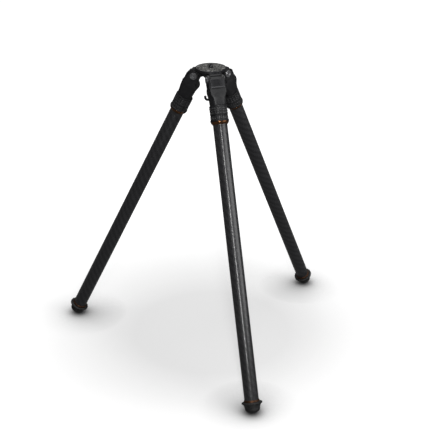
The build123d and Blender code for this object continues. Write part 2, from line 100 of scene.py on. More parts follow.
legs = {side: leg_frame(side) for side in SIDES}
print({side: [round(v, 4) for v in legs[side].translation] for side in SIDES})

# %% [markdown]
# A CAD part's sizes are read from its own vertices, measured in the leg's frame: how deep it starts and
# ends, and its smallest and largest radius about the tube's axis, over all of it or near one depth.

# %% Measure a CAD part in a leg's frame


class Reach:
    """Depths and radii of a CAD node about the Z axis of a frame."""

    def __init__(self, node, place=Matrix()):
        away = place.inverted()
        points = [away @ vertex.co for vertex in frame["nodes"][node].data.vertices]
        self.points = [(p.z, math.hypot(p.x, p.y)) for p in points]
        self.start, self.end = min(self.points)[0], max(self.points)[0]
        self.inner, self.outer = self.span(0.0, math.inf)

    def span(self, depth, near=0.1 * MM):
        """Smallest and largest radius of the vertices near a depth."""
        radii = [radius for z, radius in self.points if abs(z - depth) < near]
        return min(radii), max(radii)


for node_name in ("lower_tube_front", "upper_collar_front", "foot_front"):
    size = Reach(node_name, legs["front"])
    print(node_name, *(round(v / MM, 2) for v in (size.start, size.end, size.inner, size.outer)), "mm")

# %% [markdown]
# ## Writing node trees as sums
# Materials and Geometry Nodes trees are both graphs.  One small class wraps a socket, so that writing a sum
# adds its Math nodes, and one method makes any other node from its type, its settings and its inputs.

# %% A socket that can be used in sums


class Wire:
    """An output socket in a node tree."""

    def __init__(self, bench, socket):
        self.bench, self.socket = bench, socket

    def maths(self, operation, *others):
        return self.bench.node("ShaderNodeMath", {"operation": operation}, dict(enumerate((self, *others))))

    def __add__(self, other):
        return self.maths("ADD", other)

    def __mul__(self, other):
        return self.maths("MULTIPLY", other)

    def __sub__(self, other):
        return self.maths("SUBTRACT", other)

    def __truediv__(self, other):
        return self.maths("DIVIDE", other)

    def __rsub__(self, other):
        return self.bench.node("ShaderNodeMath", {"operation": "SUBTRACT"}, {0: other, 1: self})

    def floor(self):
        return self.maths("FLOOR")

    def part(self):
        return self.maths("FRACT")

    def wrapped(self, length):
        return self.maths("FLOORED_MODULO", length)

    def below(self, limit):
        return self.maths("LESS_THAN", limit)

    def power(self, exponent):
        return self.maths("POWER", exponent)

    def hump(self, length=1.0):
        """Half a sine wave, 0 at both ends of the length and 1 in its middle."""
        return (self * (math.pi / length)).maths("SINE")

    def other(self, name):
        """Another output of the same node."""
        return Wire(self.bench, self.socket.node.outputs[name])

    def axes(self):
        """The three numbers of a vector."""
        split = self.bench.node("ShaderNodeSeparateXYZ", {}, {0: self})
        return split, split.other("Y"), split.other("Z")


class Bench:
    """A node tree that is being put together."""

    def __init__(self, tree):
        self.tree = tree

    def node(self, kind, settings=None, inputs=None, output=0):
        made = self.tree.nodes.new(kind)
        for name, value in (settings or {}).items():
            if name == "stops":
                self.set_stops(made.color_ramp, value)
            else:
                setattr(made, name, value)
        for name, value in (inputs or {}).items():
            if isinstance(value, Wire):
                self.tree.links.new(value.socket, made.inputs[name])
            else:
                made.inputs[name].default_value = value
        return Wire(self, made.outputs[output]) if made.outputs else made

    @staticmethod
    def set_stops(ramp, stops):
        while len(ramp.elements) < len(stops):
            ramp.elements.new(1.0)
        for element, (position, colour) in zip(ramp.elements, stops):
            element.position = position
            element.color = (*colour, 1.0)

    def vector(self, x, y, z):
        return self.node("ShaderNodeCombineXYZ", {}, {0: x, 1: y, 2: z})

    def blend(self, factor, first, second):
        """Mix two colours."""
        ends = {6: first, 7: second}
        colours = {i: c if isinstance(c, Wire) else (*c, 1.0) for i, c in ends.items()}
        return self.node("ShaderNodeMix", {"data_type": "RGBA"}, {0: factor, **colours}, output=2)


# %% [markdown]
# ## Finishes
# Every finish is a Principled shader with relief from a Bump node.  `Finish` starts one; what changes over
# the surface is fed to a socket, and what is the same everywhere is set on the socket itself.

# %% A finish
SOCKETS = {"roughness": "Roughness", "metallic": "Metallic", "specular": "Specular IOR Level",
           "coat_weight": "Coat Weight", "coat_roughness": "Coat Roughness"}


class Finish(Bench):
    """A Principled material; keywords set the sockets that are the same all over."""

    def __init__(self, name, **even):
        self.material = bpy.data.materials.new(name)
        self.material.use_nodes = True
        super().__init__(self.material.node_tree)
        self.shader = next(n for n in self.tree.nodes if n.type == "BSDF_PRINCIPLED")
        for socket, value in even.items():
            self.shader.inputs[SOCKETS[socket]].default_value = value

    def feed(self, socket, wire):
        self.tree.links.new(wire.socket, self.shader.inputs[socket])

    def relief(self, height, depth, strength=1.0):
        """Bump from a height of 0 to 1 that stands for a depth in metres."""
        self.feed("Normal", self.node(
            "ShaderNodeBump", {}, {"Height": height, "Distance": depth, "Strength": strength}))

    def object_place(self):
        return self.node("ShaderNodeTexCoord").other("Object")

    def noise(self, size, detail=2.0, place=None):
        """Noise whose lumps are about this size in metres."""
        return self.node("ShaderNodeTexNoise", {}, {
            "Vector": place or self.object_place(), "Scale": 1.0 / size, "Detail": detail})

    def ramp(self, value, *stops):
        return self.node("ShaderNodeValToRGB", {"stops": stops}, {0: value})

    def between(self, value, low, high, at_low=0.0, at_high=1.0):
        """Carry a number from one range to another, without going past the ends."""
        return self.node("ShaderNodeMapRange", {"clamp": True}, {
            "Value": value, "From Min": low, "From Max": high, "To Min": at_low, "To Max": at_high})


# %% [markdown]
# ### Carbon-fibre tube
# The real tube is a twill of flat black tows under clear lacquer: each tow passes over two and under two,
# so the crossings climb in diagonal steps.  The tube's UV map is in metres round and along it, so the weave
# follows the tube however it leans.  A 2 × 2 twill needs only the whole parts of the two tow counts, added
# and wrapped at 4.  Each tow has a rounded back that dips at its crossings, and streaks of fibre run along
# it.

# %% Carbon twill under lacquer
TOW = 4.75 * MM
REPEAT = 4 * TOW
TOW_FLATNESS = 0.45
CROSSING_DIP = 0.45
STREAKS_ACROSS, STREAKS_ALONG = 3400, 90
RESIN_DEPTH = 0.26 * MM


def carbon_twill():
    tube = Finish("carbon_twill", coat_weight=0.55, coat_roughness=0.16, specular=0.5)
    place = tube.node("ShaderNodeUVMap", {"uv_map": "wrap"})
    around, along, _ = place.axes()
    column, row = around / TOW, along / TOW
    step = column.floor() + row.floor()
    lengthwise = step.wrapped(4.0).below(1.5)
    float_along = (step.wrapped(2.0) + row.part()).hump(2.0)
    float_around = (step.wrapped(2.0) + column.part()).hump(2.0)
    over_along, over_around = (
        tow.part().hump().power(TOW_FLATNESS) * (lift * CROSSING_DIP + (1 - CROSSING_DIP))
        for tow, lift in ((column, float_along), (row, float_around)))
    height = lengthwise * over_along + (1 - lengthwise) * over_around
    fibres_along = tube.noise(1.0, 3.0, tube.vector(around * STREAKS_ACROSS, along * STREAKS_ALONG, 0.0))
    fibres_around = tube.noise(1.0, 3.0, tube.vector(around * STREAKS_ALONG, along * STREAKS_ACROSS, 4.0))
    fibres = lengthwise * fibres_along + (1 - lengthwise) * fibres_around
    cloud = tube.noise(0.035, 2.0)
    # Painted sheen: tows that run round the tube are painted lighter than those along it, for the way they
    # catch light.
    shade = fibres * 0.5 + cloud * 0.14 + (1 - lengthwise) * 0.2 + 0.1
    tube.feed("Base Color", tube.ramp(
        shade, (0.22, (0.006, 0.006, 0.007)), (0.62, (0.024, 0.024, 0.026)), (0.95, (0.06, 0.06, 0.064))))
    tube.feed("Roughness", tube.between(fibres, 0.3, 0.7, 0.24, 0.42))
    tube.relief(height * 0.85 + fibres * 0.15, RESIN_DEPTH, 0.85)
    return tube.material


CARBON = carbon_twill()
print("tow", TOW / MM, "mm, so the pattern repeats every", REPEAT / MM, "mm")

# %% [markdown]
# ### Cast and coated aluminium
# Hub and yokes are castings under a fine powder coat: black, nearly matt, with grains about a third of a
# millimetre across that only show as a sparkle in the highlights.

# %% Powder-coated casting


def powder_coat():
    coat = Finish("powder_coat_black", specular=0.42)
    grain = coat.noise(0.38 * MM, 2.0)
    cloud = coat.noise(9 * MM, 3.0)
    shade = grain * 0.6 + cloud * 0.4
    coat.feed("Base Color", coat.ramp(shade, (0.3, (0.006, 0.006, 0.007)), (0.7, (0.014, 0.014, 0.016))))
    coat.feed("Roughness", coat.between(cloud, 0.3, 0.7, 0.36, 0.48))
    coat.relief(grain, 0.035 * MM, 0.55)
    return coat.material


CAST = powder_coat()

# %% [markdown]
# ### Turned and anodised aluminium
# Turned parts keep fine tool lines round their axis.  On a turned piece the UV map runs along the outline,
# so stretched noise in that direction gives lines of uneven depth; the same recipe serves black, grey and
# copper.

# %% Anodised metal with tool lines
TOOL_LINE = 0.16 * MM


def anodised(name, dark, bright, rough, metallic=0.85):
    metal = Finish(name, metallic=metallic, specular=0.5)
    around, along, _ = metal.node("ShaderNodeUVMap", {"uv_map": "wrap"}).axes()
    lines = metal.noise(1.0, 3.0, metal.vector(around * 12, along / TOOL_LINE, 0.0))
    cloud = metal.noise(6 * MM, 3.0)
    shade = metal.between(lines * 0.55 + cloud * 0.45, 0.32, 0.68)
    metal.feed("Base Color", metal.blend(shade, dark, bright))
    metal.feed("Roughness", metal.between(cloud * 0.5 + lines * 0.5, 0.35, 0.65, *rough))
    metal.relief(lines, 0.02 * MM, 0.5)
    return metal.material


BLACK_METAL = anodised("anodised_black", (0.012, 0.012, 0.014), (0.03, 0.03, 0.034), (0.3, 0.42), 0.5)
GREY_METAL = anodised("anodised_grey", (0.2, 0.2, 0.21), (0.38, 0.38, 0.39), (0.26, 0.4))
COPPER = anodised("anodised_copper", (0.13, 0.055, 0.022), (0.29, 0.14, 0.065), (0.15, 0.25), 0.95)
# A darker copy of the copper for the foot ring: painted shade, for a ring that sits in shadow.
SHADED_COPPER = anodised("shaded_copper", (0.03, 0.016, 0.01), (0.13, 0.06, 0.03), (0.32, 0.5), 0.8)
STEEL = anodised("black_oxide_steel", (0.035, 0.035, 0.038), (0.085, 0.085, 0.09), (0.28, 0.46), 0.9)

# %% [markdown]
# Parts that keep their CAD mesh have no UV map, and neither has the hook's swept wire, so their metal reads
# Object coordinates: fine grain, the same in every direction, as bead blasting leaves it.

# %% Blasted metal on Object coordinates


def blasted(name, dark, bright, rough, metallic):
    metal = Finish(name, metallic=metallic, specular=0.5)
    grain = metal.noise(0.22 * MM, 2.0)
    cloud = metal.noise(5 * MM, 3.0)
    shade = metal.between(grain * 0.6 + cloud * 0.4, 0.2, 0.8)
    metal.feed("Base Color", metal.blend(shade, dark, bright))
    metal.feed("Roughness", metal.between(cloud, 0.2, 0.8, *rough))
    metal.relief(grain, 0.015 * MM, 0.4)
    return metal.material


TAB_METAL = blasted("blasted_black", (0.014, 0.014, 0.016), (0.03, 0.03, 0.033), (0.26, 0.34), 0.45)
BUSH_METAL = blasted("sintered_bronze", (0.34, 0.2, 0.09), (0.6, 0.4, 0.2), (0.4, 0.6), 0.9)
SCREW_METAL = blasted("screw_steel", (0.04, 0.04, 0.042), (0.1, 0.1, 0.105), (0.25, 0.4), 0.9)
HOOK_COAT = blasted("hook_lacquer", (0.008, 0.008, 0.009), (0.02, 0.02, 0.022), (0.22, 0.36), 0.2)

# %% [markdown]
# ### Rubber and plastic
# Grip rubber is matt and slightly dusty; the platform's pad is ground cork in rubber, so it is a dense mix
# of pale and dark crumbs that stand a little proud of each other.

# %% Rubbers, cork pad and collet plastic
CRUMB = 2.6 * MM


def rubber(name, dark, bright, rough, grain_size=0.3 * MM):
    skin = Finish(name, specular=0.4)
    grain = skin.noise(grain_size, 3.0)
    dust = skin.noise(7 * MM, 4.0)
    shade = skin.between(dust * 0.7 + grain * 0.3, 0.38, 0.68)
    skin.feed("Base Color", skin.blend(shade, dark, bright))
    skin.feed("Roughness", skin.between(dust, 0.35, 0.65, *rough))
    skin.relief(grain, 0.03 * MM, 0.5)
    return skin.material


def cork_pad():
    pad = Finish("cork_rubber_pad", specular=0.4)
    crumbs = pad.node(
        "ShaderNodeTexVoronoi", {"feature": "F1"}, {"Vector": pad.object_place(), "Scale": 1 / CRUMB})
    tone, _, _ = crumbs.other("Color").axes()
    fine = pad.noise(0.5 * MM, 3.0)
    wide = pad.noise(4 * MM, 3.0)
    shade = tone * 0.42 + fine * 0.16 + wide * 0.42
    pad.feed("Base Color", pad.ramp(
        shade, (0.36, (0.01, 0.01, 0.01)), (0.49, (0.045, 0.045, 0.044)), (0.6, (0.11, 0.109, 0.105)),
        (0.72, (0.32, 0.315, 0.3))))
    pad.feed("Roughness", pad.between(fine, 0.3, 0.7, 0.55, 0.8))
    pad.relief((1 - crumbs) * 0.6 + fine * 0.4, 0.12 * MM, 0.7)
    return pad.material


# Two copies of one rubber: the sleeve is painted darker, as painted shade between the blocks, and the blocks
# and ribs lighter, as a painted sheen on their faces.
SHADED_GRIP = rubber("grip_rubber", (0.005, 0.005, 0.006), (0.013, 0.013, 0.015), (0.45, 0.62))
LIT_BLOCK_RUBBER = rubber("grip_rubber_painted_sheen", (0.018, 0.018, 0.019), (0.05, 0.05, 0.052), (0.27, 0.4))
TREAD = rubber("foot_rubber", (0.007, 0.007, 0.007), (0.022, 0.022, 0.022), (0.5, 0.7))
COLLET = rubber("collet_plastic", (0.02, 0.02, 0.02), (0.05, 0.05, 0.05), (0.35, 0.5), 0.8 * MM)
PAD = cork_pad()
print(len(bpy.data.materials), "finishes")

# %% [markdown]
# ## Turning on a lathe
# Most of a tripod is turned, so most pieces are an outline of depth and radius, swept round the axis.  Real
# edges are never sharp: every corner of an outline gets a small round before it is turned, and that line of
# light along the edge is what makes it read as metal.

# %% Round the corners of an outline
ON_AXIS = 1e-6


def eased(outline, radius, steps=3):
    """Round each corner of a closed outline of (depth, radius) points; corners on the axis stay."""
    rounded = []
    for i, corner in enumerate(outline):
        here = Vector(corner)
        before, after = Vector(outline[i - 1]), Vector(outline[(i + 1) % len(outline)])
        room = min((before - here).length, (after - here).length) * 0.45
        cut = min(radius, room)
        if here.y < ON_AXIS or cut < ON_AXIS:
            rounded.append(here)
            continue
        start = here + (before - here).normalized() * cut
        end = here + (after - here).normalized() * cut
        for k in range(steps + 1):
            t = k / steps
            rounded.append(start * (1 - t) ** 2 + here * 2 * t * (1 - t) + end * t**2)
    return rounded


# %% [markdown]
# The lathe makes the rings, joins them with quads and writes the UV map "wrap", in metres round and along.
# An outline point may carry a number of sides, which turns a round hole into a hexagonal one for a key.

# %% The lathe


def ring_radius(radius, sides, angle):
    """A circle's radius, or a polygon's at this angle, for its distance across flats."""
    if not sides:
        return radius
    half = math.pi / sides
    return radius / math.cos((angle % (2 * half)) - half)


def lathe(name, outline, place, steps=96, girth=None, sides=None):
    """Turn a closed outline of (depth, radius) pairs about Z; `sides` maps outline indexes to polygons."""
    sides = sides or {}
    girth = girth or 2 * math.pi * max(p[1] for p in outline)
    mesh = bmesh.new()
    wrap = mesh.loops.layers.uv.new("wrap")
    rings, run = [], [0.0]
    for i, (depth, radius) in enumerate(outline):
        count = 1 if radius < ON_AXIS else steps
        ring = []
        for j in range(count):
            angle = 2 * math.pi * j / steps
            reach = ring_radius(radius, sides.get(i), angle)
            ring.append(mesh.verts.new((reach * math.cos(angle), reach * math.sin(angle), depth)))
        rings.append(ring)
        following = outline[(i + 1) % len(outline)]
        run.append(run[-1] + math.dist((depth, radius), following))
    for i, ring in enumerate(rings):
        following = rings[(i + 1) % len(rings)]
        if len(ring) == 1 and len(following) == 1:
            continue
        for j in range(steps):
            corners = [(ring, j, 0), (ring, j + 1, 0), (following, j + 1, 1), (following, j, 1)]
            if len(ring) == 1:
                corners.pop(1)
            if len(following) == 1:
                corners.pop(2)
            face = mesh.faces.new([r[k % len(r)] for r, k, _ in corners])
            for loop, (_, k, ahead) in zip(face.loops, corners):
                loop[wrap].uv = (girth * k / steps, run[i + ahead])
    return keep(name, mesh, place)


# %% [markdown]
# Every piece ends the same way: doubles merged, normals outward, its place put into the mesh, so that the
# object itself stays at the origin.

# %% Keep a mesh as a piece
SHARP_ANGLE = math.radians(38)


def keep(name, mesh, place=Matrix()):
    """Clean a bmesh and put it in the scene as an object at the origin."""
    bmesh.ops.remove_doubles(mesh, verts=mesh.verts, dist=1e-7)
    mesh.transform(place)
    bmesh.ops.recalc_face_normals(mesh, faces=mesh.faces)
    data = bpy.data.meshes.new(name)
    mesh.to_mesh(data)
    mesh.free()
    data.shade_smooth()
    data.set_sharp_from_angle(angle=SHARP_ANGLE)
    piece = bpy.data.objects.new(name, data)
    bpy.context.scene.collection.objects.link(piece)
    return piece


def settle(piece, body, finish, slot, *nodes):
    """Give a finished piece its material, its body and the CAD nodes that it stands for; the slot is not
    used.
    """
    piece.data.materials.clear()
    piece.data.materials.append(finish)
    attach(piece, body)
    if nodes:
        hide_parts(*nodes)
    return piece


# %% [markdown]
# ## Tubes
# Three tubes slide in each other.  Each is turned from the CAD tube's own sizes with a slightly broken
# edge, and its girth in the UV map is a whole number of twill repeats, so the weave meets itself at the
# seam.

# %% Tubes


def turn_tube(name, node, leg):
    size = Reach(node, leg)
    outline = [
        (size.start, size.inner), (size.start, size.outer), (size.end, size.outer), (size.end, size.inner)]
    repeats = round(2 * math.pi * size.outer / REPEAT)
    return lathe(name, eased(outline, 0.35 * MM), leg, steps=112, girth=repeats * REPEAT)


for side, leg in legs.items():
    for stage, body in (("upper", "leg"), ("middle", "middle"), ("lower", "lower")):
        node = f"{stage}_tube_{side}"
        settle(turn_tube(f"carbon_{node}", node, leg), f"{body}_{side}", CARBON, "carbon", node)
print("tubes made:", 3 * len(legs))

# %% [markdown]
# ## Ribs, blocks and knurls with Geometry Nodes
# A grip pattern is one small block repeated round a sleeve, so it is a job for Geometry Nodes: a circle of
# points, repeated in rows, with a rounded block on each point turned to face outwards.  The same tree makes
# the upper grip's blocks, the lower grip's ribs, the foot's lugs and the knurl above the hook.

# %% The tree that sets blocks round a sleeve


def start_tree(name, *inputs):
    """A tree with these inputs: each has a name, a socket type and perhaps a default."""
    tree = bpy.data.node_groups.new(name, "GeometryNodeTree")
    tree.interface.new_socket(name="Geometry", in_out="OUTPUT", socket_type="NodeSocketGeometry")
    for label, kind, *default in inputs:
        socket = tree.interface.new_socket(name=label, in_out="INPUT", socket_type=kind)
        if default:
            socket.default_value = default[0]
    bench = Bench(tree)
    return tree, bench, bench.node("NodeGroupInput")


def end_tree(bench, geometry, given):
    """Realize, shade smooth, set the material and hand the result out."""
    real = bench.node("GeometryNodeRealizeInstances", {}, {"Geometry": geometry})
    smooth = bench.node("GeometryNodeSetShadeSmooth", {}, {"Geometry": real})
    made = bench.node("GeometryNodeSetMaterial", {}, {"Geometry": smooth, "Material": given.other("Finish")})
    bench.node("NodeGroupOutput", {}, {"Geometry": made})


def blocks_round_a_sleeve():
    tree, bench, given = start_tree(
        "blocks_round_a_sleeve",
        ("Columns", "NodeSocketInt", 18), ("Rows", "NodeSocketInt", 3), ("Radius", "NodeSocketFloat", 0.02),
        ("First Row", "NodeSocketFloat", 0.0), ("Row Pitch", "NodeSocketFloat", 0.006),
        ("Block", "NodeSocketVector"), ("Squareness", "NodeSocketFloat", 0.7),
        ("Finish", "NodeSocketMaterial"))
    circle = bench.node("GeometryNodeMeshCircle", {}, {
        "Vertices": given.other("Columns"), "Radius": given.other("Radius")})
    line = bench.node("GeometryNodeMeshLine", {"mode": "OFFSET"}, {
        "Count": given.other("Rows"),
        "Start Location": bench.vector(0.0, 0.0, given.other("First Row")),
        "Offset": bench.vector(0.0, 0.0, given.other("Row Pitch"))})
    rows = bench.node("GeometryNodeInstanceOnPoints", {}, {"Points": line, "Instance": circle})
    points = bench.node("GeometryNodeRealizeInstances", {}, {"Geometry": rows})
    spot = bench.node("GeometryNodeInputPosition")
    outward = bench.node("ShaderNodeVectorMath", {"operation": "MULTIPLY"}, {0: spot, 1: (1.0, 1.0, 0.0)})
    facing = bench.node(
        "FunctionNodeAlignRotationToVector", {"axis": "X", "pivot_axis": "Z"}, {"Vector": outward})
    cube = bench.node("GeometryNodeMeshCube", {}, {"Size": given.other("Block")})
    block = bench.node("GeometryNodeSubdivisionSurface", {}, {
        "Mesh": cube, "Level": 2, "Edge Crease": given.other("Squareness")})
    set_round = bench.node("GeometryNodeInstanceOnPoints", {}, {
        "Points": points, "Instance": block, "Rotation": facing})
    end_tree(bench, set_round, given)
    return tree


BLOCKS = blocks_round_a_sleeve()
print("inputs:", [item.name for item in BLOCKS.interface.items_tree if item.in_out == "INPUT"])

# %% [markdown]
# A tree is run on an empty mesh: the inputs are set by their identifiers, the result is evaluated once and
# kept as a plain mesh, and the modifier goes.  After that it is a piece like any other.

# %% Run a tree and keep its mesh


def grow(name, tree, place, finish, **sizes):
    """Evaluate a tree with these inputs; underscores in the names stand for spaces."""
    piece = bpy.data.objects.new(name, bpy.data.meshes.new(name))
    bpy.context.scene.collection.objects.link(piece)
    modifier = piece.modifiers.new("grow", "NODES")
    modifier.node_group = tree
    identifiers = {item.name: item.identifier for item in tree.interface.items_tree if item.in_out == "INPUT"}
    for label, value in {**sizes, "Finish": finish}.items():
        modifier[identifiers[label.replace("_", " ")]] = value
    shape = bpy.data.meshes.new_from_object(piece.evaluated_get(bpy.context.evaluated_depsgraph_get()))
    piece.modifiers.remove(modifier)
    shape.transform(place)
    piece.data = shape
    shape.name = name
    return piece


# %% [markdown]
# ## Twist grips
# The upper grip is a rubber sleeve with three rows of raised blocks between two plain bands; the lower one
# has upright ribs and a flare, so fingers tell them apart.  The sleeve is turned a little under the CAD
# collar's radius and the blocks bring it up to size.

# %% Upper grip
BLOCK_COLUMNS, BLOCK_ROWS = 18, 3
BLOCK_GAP, ROW_GAP = 1.9 * MM, 1.2 * MM
EDGE, LIP = 0.8 * MM, 1.8 * MM
SLEEVE_WALL = 0.65 * MM
TOP_BAND, END_BAND = 4.0 * MM, 1.5 * MM


def sleeve_sizes(node, leg):
    """A collar's reach, its bore, its chamber, and its outer radius just past the edge."""
    size = Reach(node, leg)
    return size, size.span(size.start)[0], size.span(size.end)[0], size.span(size.start + EDGE)[1]


def upper_grip(side, leg):
    node = f"upper_collar_{side}"
    size, bore, chamber, outer = sleeve_sizes(node, leg)
    shell = chamber + SLEEVE_WALL
    outline = [
        (size.start, bore), (size.start, outer - EDGE), (size.start + EDGE, outer),
        (size.start + TOP_BAND - 0.3 * MM, outer), (size.start + TOP_BAND, shell),
        (size.end - END_BAND, shell), (size.end - 1.2 * MM, outer - 0.2 * MM), (size.end, outer - 0.6 * MM),
        (size.end, chamber), (size.start + LIP, chamber), (size.start + LIP, bore)]
    sleeve = lathe(f"upper_grip_sleeve_{side}", eased(outline, 0.25 * MM, 2), leg)
    settle(sleeve, node, SHADED_GRIP, "grip_rubber", node)
    pitch = (size.end - size.start - TOP_BAND - END_BAND) / BLOCK_ROWS
    width = 2 * math.pi * outer / BLOCK_COLUMNS - BLOCK_GAP
    blocks = grow(
        f"upper_grip_blocks_{side}", BLOCKS, leg, LIT_BLOCK_RUBBER, Columns=BLOCK_COLUMNS, Rows=BLOCK_ROWS,
        Radius=shell, First_Row=size.start + TOP_BAND + pitch / 2, Row_Pitch=pitch,
        Block=(2 * (outer - shell), width, pitch - ROW_GAP), Squareness=0.7)
    settle(blocks, node, LIT_BLOCK_RUBBER, "grip_rubber")


for side, leg in legs.items():
    upper_grip(side, leg)

# %% [markdown]
# A small domed pip on the grip's side tells a thumb which way the grip stands.  Its own axis points across
# the leg.

# %% Position pip
PIP_DEPTH, PIP_RADIUS, PIP_HEIGHT, PIP_ROUND = 7.2 * MM, 1.8 * MM, 1.55 * MM, 0.4 * MM


def pip(side, leg):
    node = f"upper_collar_{side}"
    size = Reach(node, leg)
    x_axis, y_axis, z_axis = (leg.to_3x3().col[i] for i in range(3))
    place = stand_on(leg @ Vector((0.0, 0.0, size.start + PIP_DEPTH)), x_axis, -z_axis, y_axis)
    top = size.outer - 0.05 * MM
    root = top - PIP_HEIGHT
    dome = [
        (root, 0.0), (root, PIP_RADIUS), (top - PIP_ROUND, PIP_RADIUS), (top, PIP_RADIUS * 0.6), (top, 0.0)]
    settle(lathe(f"grip_pip_{side}", eased(dome, 0.25 * MM), place, steps=28), node, TAB_METAL, "grip_rubber")


for side, leg in legs.items():
    pip(side, leg)

# %% Lower grip
RIB_COUNT, RIB_WIDTH = 24, 3.4 * MM
RIB_MIDDLE, RIB_LENGTH = 0.4, 0.55
FLARE_START, FLARE_FULL, FLARE_END = 4.9 * MM, 3.4 * MM, 1.2 * MM


def lower_grip(side, leg):
    node = f"lower_collar_{side}"
    size, bore, chamber, outer = sleeve_sizes(node, leg)
    shell, rim, flare = chamber + SLEEVE_WALL, outer - 0.2 * MM, size.outer
    outline = [
        (size.start, bore), (size.start, outer - EDGE), (size.start + EDGE, rim), (size.start + LIP, rim),
        (size.start + LIP + 0.4 * MM, shell), (size.end - FLARE_START, shell),
        (size.end - FLARE_FULL, flare - 0.2 * MM), (size.end - FLARE_END, flare - 0.1 * MM),
        (size.end, size.span(size.end)[1]), (size.end, chamber), (size.start + LIP, chamber),
        (size.start + LIP, bore)]
    sleeve = lathe(f"lower_grip_sleeve_{side}", eased(outline, 0.3 * MM, 2), leg)
    settle(sleeve, node, SHADED_GRIP, "grip_rubber", node)
    length = size.end - size.start
    ribs = grow(
        f"lower_grip_ribs_{side}", BLOCKS, leg, LIT_BLOCK_RUBBER, Columns=RIB_COUNT, Rows=1, Radius=shell,
        First_Row=size.start + length * RIB_MIDDLE, Row_Pitch=0.0,
        Block=(2 * (outer - shell), RIB_WIDTH, length * RIB_LENGTH), Squareness=0.65)
    settle(ribs, node, LIT_BLOCK_RUBBER, "grip_rubber")


for side, leg in legs.items():
    lower_grip(side, leg)
print("grips:", BLOCK_COLUMNS * BLOCK_ROWS, "blocks and", RIB_COUNT, "ribs on each leg")

# %% [markdown]
# ## Copper-coloured rings and feet
# A tapered ring closes the lower lock and a second one carries the foot.  They are the only colour on the
# stand, so their edges are rounded generously to catch a line of light.

# %% Copper rings
RING_BEVEL = (0.8 * MM, 1.6 * MM)


def copper_rings(side, leg):
    body = f"lower_{side}"
    trim = Reach(f"trim_ring_{side}", leg)
    shoulder = trim.start + (trim.end - trim.start) / 3
    outline = [(trim.start, trim.inner)]
    outline += [(depth, trim.span(depth)[1]) for depth in (trim.start, shoulder, trim.end)]
    outline.append((trim.end, trim.inner))
    settle(lathe(f"copper_trim_{side}", eased(outline, 0.5 * MM), leg), body, COPPER, "copper",
           f"trim_ring_{side}")
    ring = Reach(f"foot_ring_{side}", leg)
    tube_end = Reach(f"lower_tube_{side}", leg).end
    _, plug = ring.span(ring.start)
    rise, run = RING_BEVEL
    outline = [
        (ring.start, ring.inner), (ring.start, plug), (tube_end, plug), (tube_end, ring.outer - rise),
        (tube_end + run, ring.outer), (ring.end, ring.outer), (ring.end, ring.inner)]
    # The foot ring takes the darker copper, its painted shade.
    settle(lathe(f"copper_foot_ring_{side}", eased(outline, 0.4 * MM), leg), body, SHADED_COPPER, "copper",
           f"foot_ring_{side}")


for side, leg in legs.items():
    copper_rings(side, leg)

# %% [markdown]
# The foot is moulded rubber: a wide flange with lugs to grip when screwing it in or out, a tapering body
# with two shallow grooves, and a domed tread.

# %% Feet
LUG_COUNT, LUG_SIZE, LUG_SINK = 20, (1.5 * MM, 4.6 * MM, 3.4 * MM), 0.25 * MM
FLANGE_RISE, FLANGE_EDGE, FLANGE_END = 1.8 * MM, 3.6 * MM, 5.4 * MM
TREAD_HEIGHT, TREAD_STEPS = 7.0 * MM, 8
# Corners of the tapering body: millimetres down from the flange and in from the taper.
BODY_CORNERS = ((3.0, 0.0), (3.8, 0.8), (7.2, 0.2), (7.9, 1.0), (8.8, 1.0), (9.5, 0.2), (14.6, 0.0))


def foot(side, leg):
    node, body = f"foot_{side}", f"lower_{side}"
    size = Reach(node, leg)
    top, bottom = Reach(f"foot_ring_{side}", leg).end, size.end
    _, stem = size.span(size.start)
    _, neck = size.span(top)
    _, tip = size.span(bottom - TREAD_HEIGHT)
    flange, flange_end = size.outer - 0.8 * MM, top + FLANGE_END
    slope = (tip - neck) / (bottom - TREAD_HEIGHT - flange_end)
    taper = [(flange_end + down * MM, neck + slope * down * MM - inset * MM) for down, inset in BODY_CORNERS]
    sphere = (tip**2 + TREAD_HEIGHT**2) / (2 * TREAD_HEIGHT)
    dome = []
    for k in range(1, TREAD_STEPS):
        angle = math.asin(tip / sphere) * (1 - k / TREAD_STEPS)
        dome.append((bottom - sphere * (1 - math.cos(angle)), sphere * math.sin(angle)))
    outline = [
        (size.start, 0.0), (size.start, stem), (top, stem), (top, neck), (top + FLANGE_RISE, flange),
        (top + FLANGE_EDGE, flange), (flange_end, neck), *taper, *dome, (bottom, 0.0)]
    settle(lathe(f"rubber_foot_{side}", eased(outline, 0.45 * MM, 2), leg), body, TREAD, "foot_rubber", node)
    lugs = grow(
        f"foot_lugs_{side}", BLOCKS, leg, TREAD, Columns=LUG_COUNT, Rows=1, Radius=flange - LUG_SINK,
        First_Row=top + (FLANGE_RISE + FLANGE_EDGE) / 2, Row_Pitch=0.0, Block=LUG_SIZE, Squareness=0.5)
    settle(lugs, body, TREAD, "foot_rubber")


for side, leg in legs.items():
    foot(side, leg)
print("feet end", round(cad_low.z, 4), "m below the platform")

# %% [markdown]
# ## Castings
# The yokes and the hub are too free-form to turn.  Their CAD meshes are already right, apart from the knife
# edges, so a merged copy is taken, its flat areas are joined up again into single faces, and a Bevel
# modifier rounds every edge sharper than the angle limit.

# %% Soften a copy of a CAD part
MERGE_DISTANCE = 2e-6
FLAT_ANGLE, BEVEL_ANGLE, CREASE_ANGLE = (math.radians(angle) for angle in (1.2, 26.0, 32.0))
BEVEL_SEGMENTS = 3


